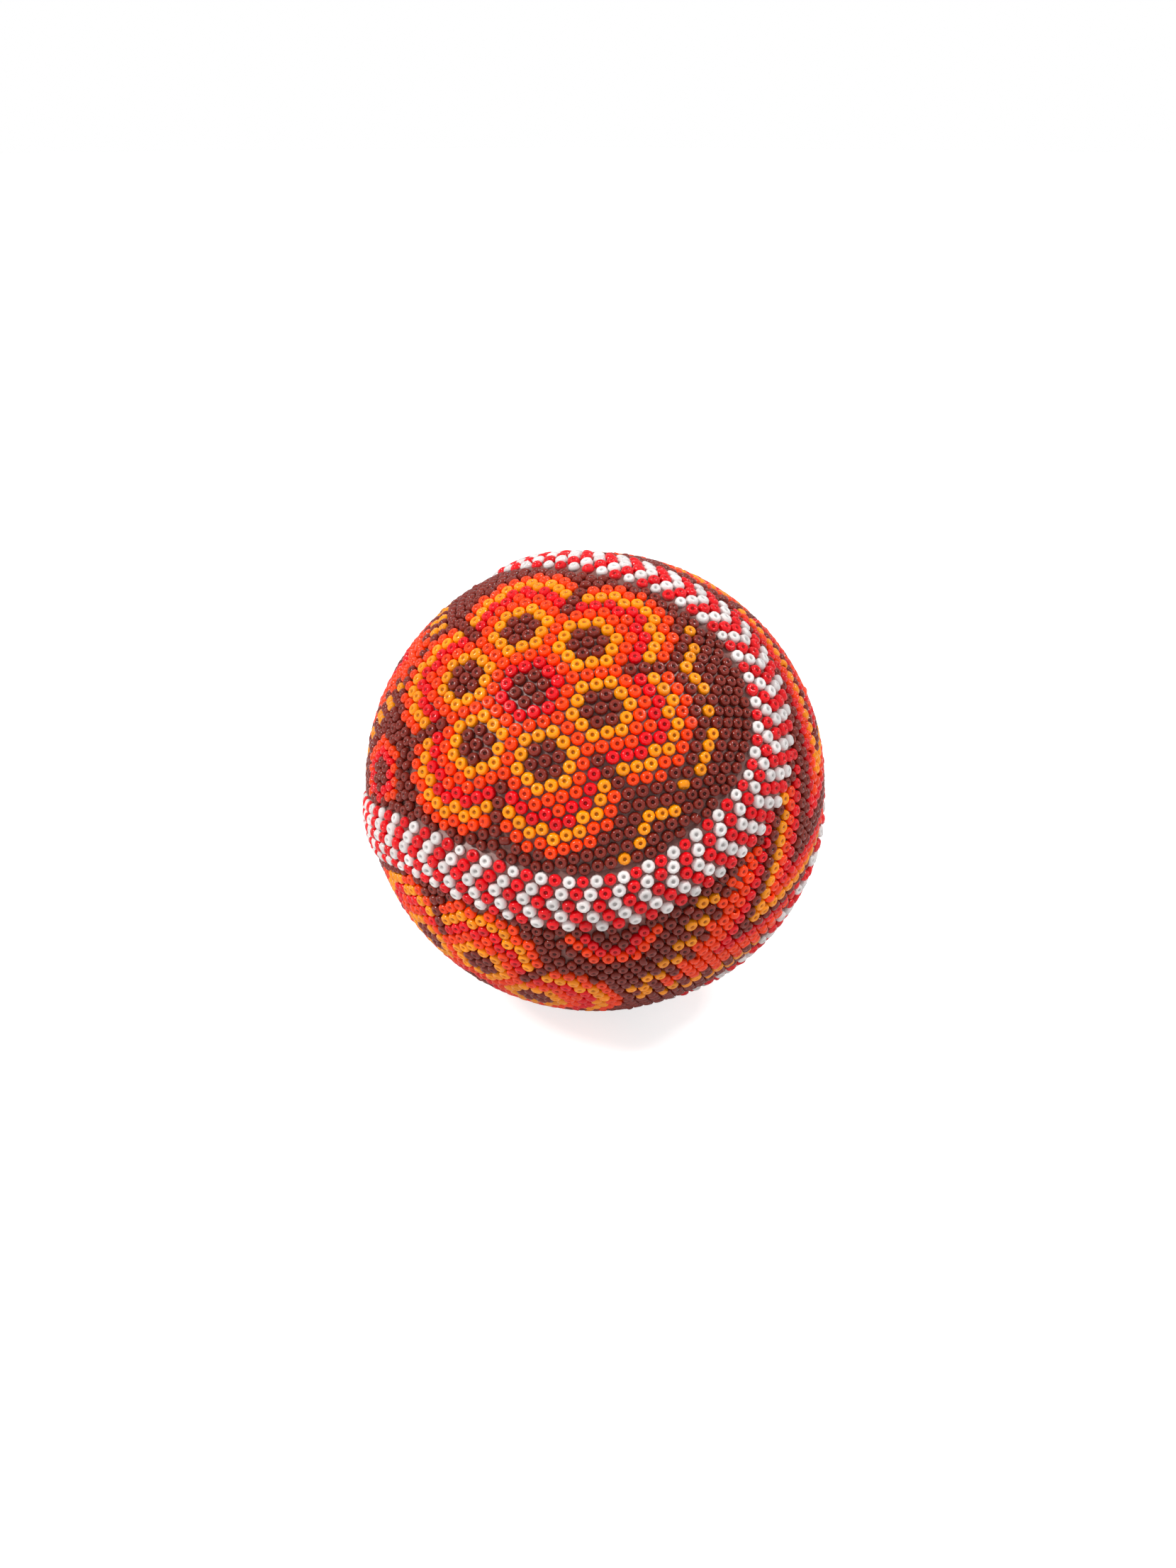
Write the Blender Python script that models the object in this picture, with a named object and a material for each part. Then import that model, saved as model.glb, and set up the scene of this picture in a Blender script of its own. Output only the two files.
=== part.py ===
"""A beaded ball: glass seed beads pressed into beeswax over a stitched leather ball.

Units are metres, +Z is up, and the origin is the middle of the small flat that the ball
stands on. The ball is modelled about its own centre, with the seam's two necks on its own
Z axis, and one empty then turns and lifts all of it to the way it lies.
"""

from math import asin, atan2, cos, pi, radians, sin, sqrt, tau

import bmesh
import bpy
from mathutils import Euler, Vector

MM = 0.001

# --- Clearances ---
PIECE_GAP = 0.3 * MM  # between pieces that touch on the real ball
# Facets dip below the curve in proportion to its radius, so these are shares of the leather's.
BEDDING_SHARE = 4 / 369  # between curved layers with facets of different shapes
WINDING_SHARE = 6 / 369  # between the coarse facets of the yarn and the covers
OUTLINE_SHARE = 6 / 369  # between the facets of a flower's outline and of its background
WELD = 0.001 * MM

# --- Core and yarn ---
CORK_RADIUS = 10.3 * MM
BLACK_RUBBER = 3.1 * MM
RED_RUBBER = 3.2 * MM
GASKET_WIDTH = 1.6 * MM
GASKET_HEIGHT = 0.9 * MM
MIDDLE_WOOL = 1.4 * MM  # the inner wool fills what the other layers leave
OUTER_WOOL = 1.7 * MM
FINE_YARN = 0.5 * MM
TUCK_HOLE_RADIUS = 1.2 * MM  # where a yarn's end is tucked in

# --- Leather covers and seam ---
LEATHER_RADIUS = 36.9 * MM
LEATHER = 1.2 * MM
NECK_HALF_ANGLE = 0.464  # half the width of a cover's neck, seen from the centre
SEAM_SWEEP = 0.391  # how far the seam swings round each lobe
SEAM_SHIFT = 0.016  # the seam lies this angle off the middle, so cover a is the larger
# Sideways wander of the hand-closed seam: cosine and sine parts for 1 to 5 waves.
SEAM_WANDER = ((0.043, -0.006), (-0.042, 0.026), (0.174, -0.011), (0.064, 0.007), (-0.025, 0.041))
STITCHES = 108
STITCH_REACH = 2.2 * MM
THREAD_RADIUS = 0.35 * MM
THREAD_SLACK = 0.37 * MM  # lifts the thread's straight runs clear of the curved leather

# --- Wax ---
PANEL_WAX = 0.5 * MM
BAND_WAX = 0.5 * MM
BAND_RAISE = 0.9 * MM  # the stitches lift the band above the panels

# --- Beads ---
BEAD_HEIGHT = 1.3 * MM
BEAD_PITCH = 2.3 * MM
BAND_ROWS = 5
BAND_ROW_SPACING = 2.0 * MM
HEART_RINGS = 2.5  # rings of beads about the flower's middle, to the heart's outline
EYE_CELLS = 3  # beads from the flower's middle to a petal's eye, along each of two rows
PETAL_RINGS = 6.5  # rings of beads about an eye, to the petal's outline
PETALS = 6
PETAL_STEP = tau / PETALS
BORDER_WIDTH = BEAD_PITCH  # background kept between a petal and the band
NECK_START = 0.7 * pi  # along the seam from a lobe's tip to the mouth of its neck
# Each lobe: its cover, its tip as a place along the seam, how far along the seam its flower
# sits, and the direction of the flower's first petal, turned from the neck.
LOBES = {
    "a1": ("a", 2 * pi, 0.52 * pi, radians(10)),
    "a2": ("a", 0.0, 0.41 * pi, radians(8)),
    "b1": ("b", 3 * pi, 0.485 * pi, radians(7)),
    "b2": ("b", pi, 0.49 * pi, radians(8)),
}

# --- How the ball lies ---
REST_FLAT_DEPTH = 0.3 * MM  # how far the lowest bead crowns are pressed in
LIE = Euler((radians(107.83), radians(46.38), radians(78.35)), "XYZ")

# --- Facets ---
SEAM_PERIOD = 4 * pi
LATHE_STEPS = 12
ARC_STEPS = 6
HALF_ARC_STEPS = 3
OUTLINE_SAMPLES = 200
COVER_COLUMNS, COVER_ROWS = 32, 8
WAX_BAND_COLUMNS, WAX_BAND_ROWS = 90, 2
BAND_COLUMNS, BAND_FACET_ROWS = 108, 3
FIELD_SEAM_STEPS, FIELD_NECK_STEPS, FIELD_ROWS = 36, 6, 3
NECK_COLUMNS, NECK_ROWS = 14, 5
PETAL_COLUMNS, PETAL_ROWS = 5, 3
HEART_COLUMNS, HEART_ROWS = 24, 2

# --- Worked out from the above ---
BEDDING_GAP = BEDDING_SHARE * LEATHER_RADIUS
WINDING_GAP = WINDING_SHARE * LEATHER_RADIUS
OUTLINE_GAP = OUTLINE_SHARE * LEATHER_RADIUS
PILL_RADIUS = CORK_RADIUS + PIECE_GAP + BLACK_RUBBER + PIECE_GAP + RED_RUBBER
THREAD_PATH_RADIUS = LEATHER_RADIUS + THREAD_RADIUS + THREAD_SLACK
PANEL_WAX_INNER = LEATHER_RADIUS + BEDDING_GAP
PANEL_WAX_OUTER = PANEL_WAX_INNER + PANEL_WAX
PANEL_INNER = PANEL_WAX_OUTER + BEDDING_GAP
PANEL_OUTER = PANEL_INNER + BEAD_HEIGHT
BAND_OUTER = PANEL_OUTER + BAND_RAISE
BAND_INNER = BAND_OUTER - BEAD_HEIGHT
BAND_WAX_OUTER = BAND_INNER - BEDDING_GAP
BAND_WAX_INNER = BAND_WAX_OUTER - BAND_WAX
BAND_HALF = BAND_ROWS * BAND_ROW_SPACING / 2
EYE_DISTANCE = sqrt(3) * EYE_CELLS * BEAD_PITCH
PETAL_RADIUS = PETAL_RINGS * BEAD_PITCH
CENTRE_HEIGHT = BAND_OUTER - REST_FLAT_DEPTH

# The side of the seam that each cover lies on, and its first lobe's tip.
COVERS = {"a": (-1.0, LOBES["a1"][1]), "b": (1.0, LOBES["b1"][1])}

COLOURS = {
    "cork": ((0.45, 0.28, 0.15), 0.9),
    "black_rubber": ((0.02, 0.02, 0.02), 0.6),
    "red_rubber": ((0.40, 0.05, 0.04), 0.6),
    "wool": ((0.55, 0.53, 0.50), 0.95),
    "fine_yarn": ((0.80, 0.78, 0.72), 0.9),
    "leather": ((0.86, 0.83, 0.76), 0.5),
    "thread": ((0.60, 0.03, 0.03), 0.7),
    "beeswax": ((0.45, 0.25, 0.24), 0.45),
    "band_beads": ((0.80, 0.30, 0.32), 0.15),
    "petal_beads": ((1.0, 0.22, 0.0), 0.15),
    "heart_beads": ((0.60, 0.01, 0.02), 0.15),
    "field_beads": ((0.10, 0.02, 0.015), 0.15),
}


def clear_scene():
    for old in list(bpy.data.objects):
        bpy.data.objects.remove(old, do_unlink=True)


def material(name):
    """The named finish, made once."""
    found = bpy.data.materials.get(name)
    if found:
        return found
    colour, roughness = COLOURS[name]
    made = bpy.data.materials.new(name)
    made.use_nodes = True
    shader = made.node_tree.nodes["Principled BSDF"]
    shader.inputs["Base Color"].default_value = (*colour, 1.0)
    shader.inputs["Roughness"].default_value = roughness
    shader.inputs["Metallic"].default_value = 0.0
    return made


def add_object(name, bm, finish, ball):
    """Makes the finished mesh an object that hangs on the ball's empty."""
    bmesh.ops.remove_doubles(bm, verts=bm.verts, dist=WELD)
    bmesh.ops.recalc_face_normals(bm, faces=bm.faces)
    mesh = bpy.data.meshes.new(name)
    bm.to_mesh(mesh)
    bm.free()
    mesh.shade_smooth()
    mesh.set_sharp_from_angle(angle=radians(35))
    mesh.materials.append(material(finish))
    made = bpy.data.objects.new(name, mesh)
    bpy.context.collection.objects.link(made)
    made.parent = ball
    return made


# --- Core and yarn: turned shells ---


def turn(bm, profile):
    """Turns an outline of (radius, height) points, whose ends lie on the axis, about Z."""
    points = [bm.verts.new((radius, 0.0, height)) for radius, height in profile]
    edges = [bm.edges.new(pair) for pair in zip(points, points[1:])]
    bmesh.ops.spin(
        bm,
        geom=points + edges,
        cent=(0.0, 0.0, 0.0),
        axis=(0.0, 0.0, 1.0),
        angle=tau,
        steps=LATHE_STEPS,
        use_merge=True,
    )


def arc(radius, start, end, steps=ARC_STEPS):
    """Points on a circle about the centre, by angle from +Z."""
    angles = [start + (end - start) * step / steps for step in range(steps + 1)]
    return [(abs(radius * sin(angle)), radius * cos(angle)) for angle in angles]


def make_ball_core(ball):
    bm = bmesh.new()
    turn(bm, arc(CORK_RADIUS, 0.0, pi))
    add_object("cork_core", bm, "cork", ball)


def make_half_shell(name, inner, thickness, upper, groove, finish, ball):
    """One moulded half: a hemispherical shell whose rim stops short of the joint plane."""
    outer = inner + thickness
    sign = 1.0 if upper else -1.0
    half_gap = PIECE_GAP / 2
    rim_outer = asin(half_gap / outer)
    rim_inner = asin(half_gap / inner)
    profile = arc(outer, 0.0, pi / 2 - rim_outer, HALF_ARC_STEPS)
    if groove:
        middle = (inner + outer) / 2
        reach = GASKET_WIDTH / 2 + PIECE_GAP
        depth = GASKET_HEIGHT / 2 + PIECE_GAP
        profile += [
            (middle + reach, half_gap),
            (middle + reach, depth),
            (middle - reach, depth),
            (middle - reach, half_gap),
        ]
    profile += arc(inner, pi / 2 - rim_inner, 0.0, HALF_ARC_STEPS)
    bm = bmesh.new()
    turn(bm, [(radius, sign * height) for radius, height in profile])
    add_object(name, bm, finish, ball)


def make_gasket(ball):
    """The square ring that seals the joint between the black halves."""
    middle = CORK_RADIUS + PIECE_GAP + BLACK_RUBBER / 2
    bm = bmesh.new()
    corners = [(-1, -1), (1, -1), (1, 1), (-1, 1)]
    points = [
        bm.verts.new((middle + x * GASKET_WIDTH / 2, 0.0, z * GASKET_HEIGHT / 2))
        for x, z in corners
    ]
    edges = [bm.edges.new((points[i], points[i - 1])) for i in range(len(points))]
    bmesh.ops.spin(
        bm,
        geom=points + edges,
        cent=(0.0, 0.0, 0.0),
        axis=(0.0, 0.0, 1.0),
        angle=tau,
        steps=LATHE_STEPS,
        use_merge=True,
    )
    add_object("pill_gasket", bm, "red_rubber", ball)


def make_winding(name, inner, outer, finish, ball):
    """A yarn layer, with the small hole where its end is tucked in."""
    profile = arc(outer, pi, asin(TUCK_HOLE_RADIUS / outer))
    profile += arc(inner, asin(TUCK_HOLE_RADIUS / inner), pi)
    bm = bmesh.new()
    turn(bm, profile)
    add_object(name, bm, finish, ball)


def make_core(ball):
    make_ball_core(ball)
    black_inner = CORK_RADIUS + PIECE_GAP
    red_inner = black_inner + BLACK_RUBBER + PIECE_GAP
    for side, upper in (("upper", True), ("lower", False)):
        make_half_shell(
            f"black_rubber_{side}", black_inner, BLACK_RUBBER, upper, True, "black_rubber", ball
        )
        make_half_shell(
            f"red_rubber_{side}", red_inner, RED_RUBBER, upper, False, "red_rubber", ball
        )
    make_gasket(ball)


def make_windings(ball):
    """The yarn, from the covers inwards; the inner wool fills what is left round the rubber."""
    layers = (
        ("fine_yarn_winding", FINE_YARN, "fine_yarn"),
        ("wool_winding_outer", OUTER_WOOL, "wool"),
        ("wool_winding_middle", MIDDLE_WOOL, "wool"),
    )
    outer = LEATHER_RADIUS - LEATHER - WINDING_GAP
    for name, thickness, finish in layers:
        make_winding(name, outer - thickness, outer, finish, ball)
        outer -= thickness + PIECE_GAP
    make_winding("wool_winding_inner", PILL_RADIUS + PIECE_GAP, outer, "wool", ball)


# --- The seam, and directions measured from it ---


def plain_seam(place):
    """Unit vector to the seam's ideal line at a place from 0 to SEAM_PERIOD."""
    polar = pi / 2 - (pi / 2 - NECK_HALF_ANGLE) * cos(place)
    around = place / 2 + SEAM_SWEEP * sin(2 * place)
    return Vector((sin(polar) * cos(around), sin(polar) * sin(around), cos(polar)))


def beside(line, place, angle):
    """Unit vector to the point at an angle to the side of a line on the ball."""
    step = 1e-3
    here = line(place)
    along = line(place + step) - line(place - step)
    side = here.cross(along).normalized()
    return (here * cos(angle) + side * sin(angle)).normalized()


def seam(place):
    """Unit vector to the seam as it was closed by hand."""
    wander = SEAM_SHIFT + sum(
        across * cos(waves * place / 2) + along * sin(waves * place / 2)
        for waves, (across, along) in enumerate(SEAM_WANDER, start=1)
    )
    return beside(plain_seam, place, wander)


def beside_seam(place, distance, radius):
    """Unit vector to a point at a distance to the side of the seam, on a sphere."""
    return beside(seam, place, distance / radius)


def between(first, second, share):
    """Unit vector on the great circle from one unit vector to another."""
    angle = first.angle(second, 0.0)
    if angle < 1e-6:
        return first.copy()
    return (first * sin((1 - share) * angle) + second * sin(share * angle)) / sin(angle)


def shell(name, columns, rows, direction, inner, outer, finish, ball, cut=None):
    """A curved sheet on the ball: a grid laid out by direction(u, v), given a thickness."""
    bm = bmesh.new()
    bmesh.ops.create_grid(bm, x_segments=columns, y_segments=rows, size=1.0)
    for vertex in bm.verts:
        u = (vertex.co.x + 1) / 2
        v = (vertex.co.y + 1) / 2
        vertex.co = direction(u, v) * outer
    bmesh.ops.remove_doubles(bm, verts=bm.verts, dist=WELD)
    made = bmesh.ops.extrude_face_region(bm, geom=bm.faces[:])
    under = [item for item in made["geom"] if isinstance(item, bmesh.types.BMVert)]
    bmesh.ops.scale(bm, vec=(inner / outer,) * 3, verts=under)
    if cut:
        cut(bm)
    return add_object(name, bm, finish, ball)


def cover_grid(cover, inset, radius, start=0.0, end=SEAM_PERIOD / 2):
    """Directions over a cover: rungs across it, from one lobe's tip towards the other's."""
    side, tip = COVERS[cover]
    distance = side * inset

    def direction(u, v):
        run = start + u * (end - start)
        left = beside_seam(tip + run, distance, radius)
        right = beside_seam(tip - run, distance, radius)
        return between(left, right, v)

    return direction


def make_covers(ball):
    for cover in COVERS:
        shell(
            f"leather_cover_{cover}",
            COVER_COLUMNS,
            COVER_ROWS,
            cover_grid(cover, PIECE_GAP / 2, LEATHER_RADIUS),
            LEATHER_RADIUS - LEATHER,
            LEATHER_RADIUS,
            "leather",
            ball,
        )


def make_thread(ball):
    """The waxed thread, zigzagging over the seam all the way round."""
    curve = bpy.data.curves.new("seam_thread", "CURVE")
    curve.dimensions = "3D"
    curve.bevel_depth = THREAD_RADIUS
    curve.bevel_resolution = 0
    spline = curve.splines.new("POLY")
    points = 2 * STITCHES
    spline.points.add(points - 1)
    for index, point in enumerate(spline.points):
        reach = STITCH_REACH if index % 2 else -STITCH_REACH
        place = SEAM_PERIOD * index / points
        point.co = (*(beside_seam(place, reach, LEATHER_RADIUS) * THREAD_PATH_RADIUS), 1.0)
    spline.use_cyclic_u = True
    curve.materials.append(material("thread"))
    made = bpy.data.objects.new("seam_thread", curve)
    bpy.context.collection.objects.link(made)
    made.parent = ball


def band_grid(half_width, radius):
    def direction(u, v):
        return beside_seam(u * SEAM_PERIOD, (2 * v - 1) * half_width, radius)

    return direction


def make_wax(ball):
    panel_inset = BAND_HALF + PIECE_GAP
    for cover in COVERS:
        shell(
            f"wax_panel_{cover}",
            COVER_COLUMNS,
            COVER_ROWS,
            cover_grid(cover, panel_inset, PANEL_OUTER),
            PANEL_WAX_INNER,
            PANEL_WAX_OUTER,
            "beeswax",
            ball,
        )
    shell(
        "wax_band",
        WAX_BAND_COLUMNS,
        WAX_BAND_ROWS,
        band_grid(BAND_HALF, PANEL_OUTER),
        BAND_WAX_INNER,
        BAND_WAX_OUTER,
        "beeswax",
        ball,
    )


def make_band(ball):
    """The chevron band of beads, with the flat where the ball stands."""
    down = LIE.to_matrix().inverted() @ Vector((0.0, 0.0, -1.0))

    def flatten(bm):
        cut = bmesh.ops.bisect_plane(
            bm,
            geom=bm.verts[:] + bm.edges[:] + bm.faces[:],
            dist=WELD / 10,
            plane_co=down * CENTRE_HEIGHT,
            plane_no=down,
            clear_outer=True,
        )
        rim = [item for item in cut["geom_cut"] if isinstance(item, bmesh.types.BMEdge)]
        bmesh.ops.edgeloop_fill(bm, edges=rim)

    shell(
        "band_beads",
        BAND_COLUMNS,
        BAND_FACET_ROWS,
        band_grid(BAND_HALF, PANEL_OUTER),
        BAND_INNER,
        BAND_OUTER,
        "band_beads",
        ball,
        flatten,
    )


# --- Lobes: each holds one six-petalled flower on a brown field ---


class Lobe:
    """One lobe of a cover, with places on it as an angle and a distance from its centre."""

    def __init__(self, cover, tip, flower_place, first_petal):
        self.tip = tip
        self.inset = COVERS[cover][0] * (BAND_HALF + PIECE_GAP)
        self.first_petal = first_petal
        self.centre = self.rung_point(flower_place, 0.5)
        neck = self.rung_point(SEAM_PERIOD / 4, 0.5)
        self.towards_neck = (neck - self.centre * neck.dot(self.centre)).normalized()
        self.across = self.centre.cross(self.towards_neck)
        shares = (step / OUTLINE_SAMPLES for step in range(OUTLINE_SAMPLES))
        self.outline = sorted(self.polar(self.edge(share)) for share in shares)

    def rung_point(self, run, share):
        left = beside_seam(self.tip + run, self.inset, PANEL_OUTER)
        right = beside_seam(self.tip - run, self.inset, PANEL_OUTER)
        return between(left, right, share)

    def edge(self, u):
        """The lobe's outline: along the band, then back across the mouth of the neck."""
        seam_share = FIELD_SEAM_STEPS / (FIELD_SEAM_STEPS + FIELD_NECK_STEPS)
        if u <= seam_share:
            run = (2 * u / seam_share - 1) * NECK_START
            return beside_seam(self.tip + run, self.inset, PANEL_OUTER)
        return self.rung_point(NECK_START, (u - seam_share) / (1 - seam_share))

    def polar(self, point):
        angle = atan2(point.dot(self.across), point.dot(self.towards_neck))
        return angle, self.centre.angle(point) * PANEL_OUTER

    def point(self, angle, distance):
        heading = self.towards_neck * cos(angle) + self.across * sin(angle)
        turn_angle = distance / PANEL_OUTER
        return self.centre * cos(turn_angle) + heading * sin(turn_angle)

    def edge_distance(self, angle):
        """Distance from the centre to the outline, in a direction."""
        angle = (angle + pi) % tau - pi
        before = [entry for entry in self.outline if entry[0] <= angle]
        after = [entry for entry in self.outline if entry[0] > angle]
        low = before[-1] if before else (self.outline[-1][0] - tau, self.outline[-1][1])
        high = after[0] if after else (self.outline[0][0] + tau, self.outline[0][1])
        share = (angle - low[0]) / (high[0] - low[0])
        return low[1] + (high[1] - low[1]) * share

    def from_petal_axis(self, angle):
        """How far a direction is from the middle of the nearest petal."""
        return (angle - self.first_petal + PETAL_STEP / 2) % PETAL_STEP - PETAL_STEP / 2

    def heart_distance(self, angle):
        """The heart is a hexagon whose corners point between the petals."""
        flat = HEART_RINGS * BEAD_PITCH * cos(PETAL_STEP / 2)
        return flat / cos(self.from_petal_axis(angle))

    def petal_distance(self, angle):
        """A petal is a circle about its eye, held back from the band by the border."""
        off = self.from_petal_axis(angle)
        swing = EYE_DISTANCE * sin(off)
        free = EYE_DISTANCE * cos(off) + sqrt(PETAL_RADIUS**2 - swing**2)
        half_facet = PETAL_STEP / PETAL_COLUMNS / 2
        nearby = (self.edge_distance(angle + side * half_facet) for side in (-1, 0, 1))
        return min(free, min(nearby) - BORDER_WIDTH)


def make_flower(name, lobe, ball):
    def heart(u, v):
        angle = u * tau
        return lobe.point(angle, v * lobe.heart_distance(angle))

    shell(
        f"{name}_heart", HEART_COLUMNS, HEART_ROWS, heart, PANEL_INNER, PANEL_OUTER,
        "heart_beads", ball,
    )
    for number in range(PETALS):

        def petal(u, v, axis=lobe.first_petal + number * PETAL_STEP):
            corner = HEART_RINGS * BEAD_PITCH
            spread = PETAL_STEP / 2 - asin(PIECE_GAP / 2 / corner)
            angle = axis + (2 * u - 1) * spread
            start = lobe.heart_distance(angle) + PIECE_GAP
            return lobe.point(angle, start + v * (lobe.petal_distance(angle) - start))

        shell(
            f"{name}_petal_{number + 1}", PETAL_COLUMNS, PETAL_ROWS, petal, PANEL_INNER,
            PANEL_OUTER, "petal_beads", ball,
        )


def make_field(name, lobe, ball):
    """The background between the flower, the band and the mouth of the neck."""

    def field(u, v):
        angle, reach = lobe.polar(lobe.edge(u % 1.0))
        start = lobe.petal_distance(angle) + OUTLINE_GAP
        return lobe.point(angle, start + v * (reach - PIECE_GAP - start))

    shell(
        f"{name}_field", FIELD_SEAM_STEPS + FIELD_NECK_STEPS, FIELD_ROWS, field, PANEL_INNER,
        PANEL_OUTER, "field_beads", ball,
    )


def make_necks(ball):
    neck_end = SEAM_PERIOD / 2 - NECK_START
    for cover in COVERS:
        shell(
            f"neck_{cover}_field",
            NECK_COLUMNS,
            NECK_ROWS,
            cover_grid(cover, BAND_HALF + PIECE_GAP, PANEL_OUTER, NECK_START, neck_end),
            PANEL_INNER,
            PANEL_OUTER,
            "field_beads",
            ball,
        )


def make_lobes(ball):
    for name, values in LOBES.items():
        lobe = Lobe(*values)
        make_flower(f"flower_{name}", lobe, ball)
        make_field(f"lobe_{name}", lobe, ball)


def main():
    clear_scene()
    ball = bpy.data.objects.new("ball_centre", None)
    bpy.context.collection.objects.link(ball)
    ball.location = (0.0, 0.0, CENTRE_HEIGHT)
    ball.rotation_euler = LIE
    make_core(ball)
    make_windings(ball)
    make_covers(ball)
    make_thread(ball)
    make_wax(ball)
    make_band(ball)
    make_necks(ball)
    make_lobes(ball)


main()
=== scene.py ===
"""A beaded ball: glass seed beads pressed one by one into beeswax over a stitched ball.

The beads, the wax and the studio are made here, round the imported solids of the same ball.
Lengths are metres, +Z is up, and the ball stands on its own small flat at the origin.
"""

from collections import namedtuple
from functools import lru_cache
from itertools import product
from math import atan2, copysign, cos, hypot, pi, radians, sin, sqrt, tau
from random import Random

import bmesh
import bpy
import numpy as np
from bpy.props import FloatProperty, FloatVectorProperty, IntProperty, PointerProperty
from bpy.types import Operator, Panel, PropertyGroup
from mathutils import Euler, Matrix, Vector, noise


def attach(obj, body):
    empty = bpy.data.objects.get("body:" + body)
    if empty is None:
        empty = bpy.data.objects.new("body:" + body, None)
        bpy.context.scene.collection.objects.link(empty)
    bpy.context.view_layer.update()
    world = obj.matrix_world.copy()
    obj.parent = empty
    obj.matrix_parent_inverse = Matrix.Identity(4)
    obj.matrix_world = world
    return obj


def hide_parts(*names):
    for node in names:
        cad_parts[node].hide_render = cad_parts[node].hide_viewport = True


bl_info = {
    "name": "Beaded ball",
    "version": (1, 0, 0),
    "blender": (4, 5, 0),
    "location": "3D View > Sidebar > Beaded ball",
    "description": "Beads, wax and a small studio for a beaded ball",
    "category": "Object",
}

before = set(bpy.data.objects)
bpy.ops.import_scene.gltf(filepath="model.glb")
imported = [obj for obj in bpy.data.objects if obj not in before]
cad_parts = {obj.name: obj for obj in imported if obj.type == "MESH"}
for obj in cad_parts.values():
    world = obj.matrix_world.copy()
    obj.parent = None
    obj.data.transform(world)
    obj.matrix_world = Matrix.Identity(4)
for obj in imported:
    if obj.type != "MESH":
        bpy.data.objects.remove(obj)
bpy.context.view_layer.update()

MM = 0.001
TINY = 1e-6  # nothing this small shows

# --- The ball under the beads, as its solids have it ---
SEAM_PERIOD = 4 * pi
NECK_HALF_ANGLE = 0.464
SEAM_SWEEP = 0.391
SEAM_SHIFT = 0.016
SEAM_WANDER = ((0.043, -0.006), (-0.042, 0.026), (0.174, -0.011), (0.064, 0.007), (-0.025, 0.041))
NECK_START = 0.7 * pi
PANEL_WAX_INNER = 37.3 * MM
PANEL_CROWN = 39.5 * MM
BAND_CROWN = 40.4 * MM
BAND_HALF = 5.0 * MM
PIECE_GAP = 0.3 * MM
BALL_CENTRE = Vector((0.0, 0.0, 40.1 * MM))
LIE = Euler((radians(107.83), radians(46.38), radians(78.35)), "XYZ")
BALL = Matrix.Translation(BALL_CENTRE) @ LIE.to_matrix().to_4x4()

# Each lobe: its cover, its tip as a place along the seam, how far along the seam its flower
# sits, and the direction of the flower's first petal, turned from the neck.
LOBES = {
    "a1": ("a", 2 * pi, 0.52 * pi, radians(10)),
    "a2": ("a", 0.0, 0.41 * pi, radians(8)),
    "b1": ("b", 3 * pi, 0.485 * pi, radians(7)),
    "b2": ("b", pi, 0.49 * pi, radians(8)),
}
COVERS = {"a": (-1.0, LOBES["a1"][1]), "b": (1.0, LOBES["b1"][1])}

# --- How a bead is shaped, as shares of half its width ---
HOLE_PROFILE = ((0.0, 0.16), (0.25, 0.36))  # the wax in the hole, up its wall
BODY_PROFILE = ((0.35, 0.60), (0.60, 0.70), (0.86, 0.52), (1.0, 0.0), (0.90, -0.40), (0.0, -0.42))
BEAD_HALF_HEIGHT = 0.70
SIDE_REACH = 0.72  # from the middle of a bead that lies on its side up to its crown
BEAD_SEGMENTS = 10
HAIR = 0.01  # places closer than this are the same

# --- The beads' batches ---
COLOURS = ("brown", "yellow", "orange", "red", "white")
BEAD_WIDTHS = {  # each colour is a batch of its own
    "brown": 2.14 * MM,
    "yellow": 2.26 * MM,
    "orange": 2.20 * MM,
    "red": 2.17 * MM,
    "white": 2.24 * MM,
}
WIDTH_SPREAD = 0.02  # share of its colour's width by which a bead differs
SMALLEST_BEAD = 0.76  # share of its colour's width
TONE_LIMIT = 2.0  # beads differ in tone by up to this many times the usual
TONE_SHADES = (0.86, 1.12)  # shares of its colour that the darkest and the palest beads take
# Painted shade: a bead's colour inside its hole is darkened to these shares, standing in for the
# shade in the hole
HOLE_PAINTED_SHADE = {"brown": 0.45, "yellow": 0.55, "orange": 0.55, "red": 0.55, "white": 0.75}
GLASS_ROUGHNESS = 0.12
FILM_ROUGHNESS = 0.45  # where wax covers the glass
FILM_CREEP = 0.14  # how far the wax climbs a bead, in millimetres
THICKEST_FILM = 0.5  # share of the glass's colour that wax hides

# --- How the beads are laid ---
BAND_LEAN = (0.0, radians(7), radians(20))  # how far a row leans out, from the middle row on
BAND_DROP = (0.0, 0.06 * MM, 0.34 * MM)  # how far a row lies below the middle row
HAND_SLIP = 0.045 * MM  # how far off its place a hand sets a bead
CROWN_INSET = 0.14 * MM  # keeps the crowns inside the space set aside for them
SIDEWAYS_SHARE = 0.05  # loose beads that lie on their side
SIDEWAYS_TILT = radians(70)
FILL_TRIES = 40000  # places tried for the filling beads, all over the ball
FILL_ROUNDS = 3
FILL_ROOM = 0.5  # share of the room beside the band that a filling bead needs
SETTLE_STEPS = 30
SETTLE_REACH = 1.5  # beads within this many times the wanted distance push each other
SETTLE_PUSH = 0.5  # share of the distance that a pair lacks
CROWDING_REACH = 2.4 * MM  # beads further apart than this don't crowd each other
CROWDING_STEPS = 3

# --- The flower's pattern, in cells of its honeycomb ---
PETALS = 6
PETAL_STEP = tau / PETALS
HEXAGON = ((1, 0), (0, 1), (-1, 1), (-1, 0), (0, -1), (1, -1))
EYE_STEPS = 3  # an eye is this many cells along each of two neighbouring rows
PETAL_RINGS = ("brown", "brown", "yellow", "orange", "red", "yellow", "orange")
HEART_RINGS = ("brown", "brown", "red")
TIP_RING = 4  # from this ring on a petal's tip is rounded, and the petals stand apart

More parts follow.
